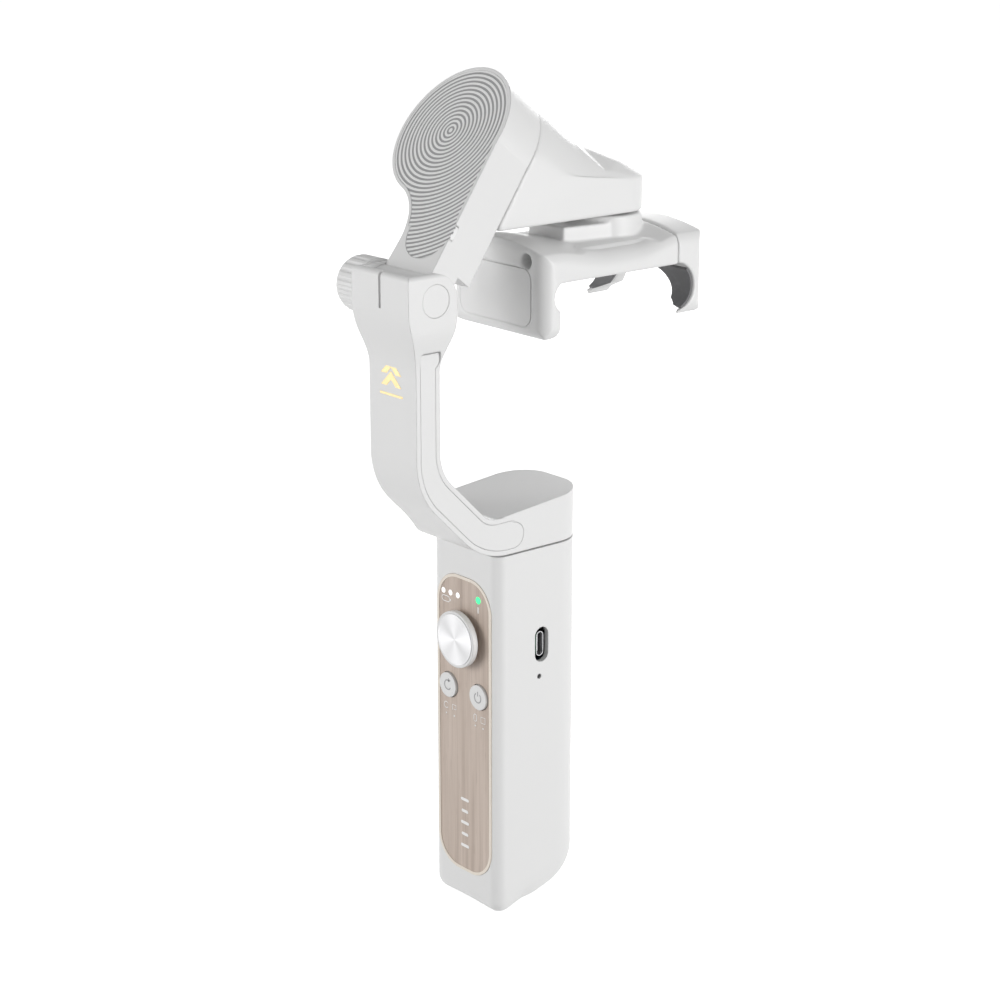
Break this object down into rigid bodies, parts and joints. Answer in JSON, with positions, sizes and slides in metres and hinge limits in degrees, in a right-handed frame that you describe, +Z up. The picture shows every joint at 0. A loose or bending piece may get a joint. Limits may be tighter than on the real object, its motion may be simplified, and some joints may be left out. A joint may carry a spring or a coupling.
{
  "type": "gimbal stabilizer",
  "caption": "Folding handheld three-axis phone stabilizer: slim grip with thumb stick and keys, curved arm, tilted motor head and spring-loaded phone clamp.",
  "frame": {"origin": "mouth of the tripod thread, in the middle of the handle's foot", "axes": "+Z up along the pan axis, -Y towards the user out of the flat control panel, +X towards the charging port"},
  "size_m": [0.0614, 0.1259, 0.2907],
  "materials": {
    "white_shell": "satin moulded plastic, off-white",
    "ring_cover": "satin plastic with fine turned rings",
    "panel_trim": "glossy cream-champagne trim",
    "wood_inlay": "taupe wood-grain film under satin lacquer",
    "white_lamp": "diffusing lamp window",
    "green_lamp": "lit green lamp window",
    "dark_plastic": "matte black moulding",
    "steel": "machined steel",
    "board": "solder-masked board",
    "cell_sleeve": "shrink sleeve",
    "brushed_disc": "radially brushed aluminium",
    "grey_rubber": "matte grey rubber",
    "motor_alloy": "cast and machined",
    "winding": "enamelled copper windings on laminations",
    "motor_black": "black oxide",
    "magnet": "nickel-plated magnet"
  },
  "bodies": {
    "handle": {"handle_shell": "white_shell", "tripod_insert": "steel", "panel_rim": "panel_trim", "panel_inlay": "wood_inlay", "battery_lamps": "white_lamp", "status_lamp": "green_lamp", "charge_lamp": "dark_plastic", "charging_port": "steel", "port_board": "board", "main_board": "board", "battery_cell": "cell_sleeve", "battery_cradle": "dark_plastic", "stick_housing": "dark_plastic", "button_switches": "dark_plastic", "pan_motor_base": "motor_alloy", "pan_stator": "winding", "pan_bearings": "steel"},
    "lower_arm_body": {"lower_arm": "white_shell", "arm_cover": "white_shell", "hinge_pin": "steel", "hinge_pin_cover": "white_shell", "pan_rotor": "motor_black", "pan_magnets": "magnet", "pan_shaft": "steel"},
    "knob_body": {"lock_knob": "white_shell", "lock_nut": "steel"},
    "upper_arm_body": {"upper_arm": "white_shell", "upper_arm_cover": "ring_cover", "roll_motor_base": "motor_alloy", "roll_stator": "winding", "roll_bearings": "steel"},
    "cross_arm_body": {"cross_arm": "white_shell", "roll_rotor": "motor_black", "roll_magnets": "magnet", "roll_shaft": "steel", "tilt_motor_base": "motor_alloy", "tilt_stator": "winding", "tilt_bearings": "steel"},
    "clamp": {"clamp_body": "white_shell", "clamp_cover": "white_shell", "clamp_pad": "grey_rubber", "tilt_rotor": "motor_black", "tilt_magnets": "magnet", "tilt_shaft": "steel", "jaw_springs": "steel", "spring_rods": "steel", "cover_screws": "steel"},
    "jaw": {"sliding_jaw": "white_shell", "jaw_pads": "grey_rubber"},
    "stick_ring_body": {"stick_ring": "steel"},
    "stick": {"thumb_stick": "dark_plastic", "thumb_disc": "brushed_disc", "thumb_disc_rim": "white_shell"},
    "mode_key": {"mode_button": "white_shell"},
    "power_key": {"power_button": "white_shell"}
  },
  "joints": [
    {"name": "pan", "type": "hinge", "parent": "handle", "child": "lower_arm_body", "pos_m": [0, 0, 0.1322], "axis": [0, 0, 1], "range_deg": [-160, 160]},
    {"name": "fold", "type": "hinge", "parent": "lower_arm_body", "child": "upper_arm_body", "pos_m": [0.0053, -0.0452, 0.2238], "axis": [1, 0, 0], "range_deg": [-30, 58]},
    {"name": "roll", "type": "hinge", "parent": "upper_arm_body", "child": "cross_arm_body", "pos_m": [-0.0123, -0.01277, 0.27148], "axis": [0, 0.7826, -0.6225], "range_deg": [-160, 160]},
    {"name": "tilt", "type": "hinge", "parent": "cross_arm_body", "child": "clamp", "pos_m": [0, 0.04402, 0.24128], "axis": [0, 0, -1], "range_deg": [-160, 160]},
    {"name": "jaw_slide", "type": "slide", "parent": "clamp", "child": "jaw", "axis": [0, 1, 0], "range_m": [0, 0.03], "stiffness_N_per_m": 120, "springref_m": -0.02},
    {"name": "stick_up_down", "type": "hinge", "parent": "handle", "child": "stick_ring_body", "pos_m": [0, -0.013, 0.0997], "axis": [1, 0, 0], "range_deg": [-7, 7], "stiffness_Nm_per_rad": 0.02},
    {"name": "stick_left_right", "type": "hinge", "parent": "stick_ring_body", "child": "stick", "pos_m": [0, -0.013, 0.0997], "axis": [0, 0, 1], "range_deg": [-7, 7], "stiffness_Nm_per_rad": 0.02},
    {"name": "mode_press", "type": "slide", "parent": "handle", "child": "mode_key", "axis": [0, 1, 0], "range_m": [0, 0.0006], "stiffness_N_per_m": 1500, "springref_m": -0.0004},
    {"name": "power_press", "type": "slide", "parent": "handle", "child": "power_key", "axis": [0, 1, 0], "range_m": [0, 0.0006], "stiffness_N_per_m": 1500, "springref_m": -0.0004},
    {"name": "knob_turn", "type": "hinge", "parent": "lower_arm_body", "child": "knob_body", "pos_m": [-0.016, -0.0452, 0.2238], "axis": [-1, 0, 0], "range_deg": [0, 360]}
  ]
}
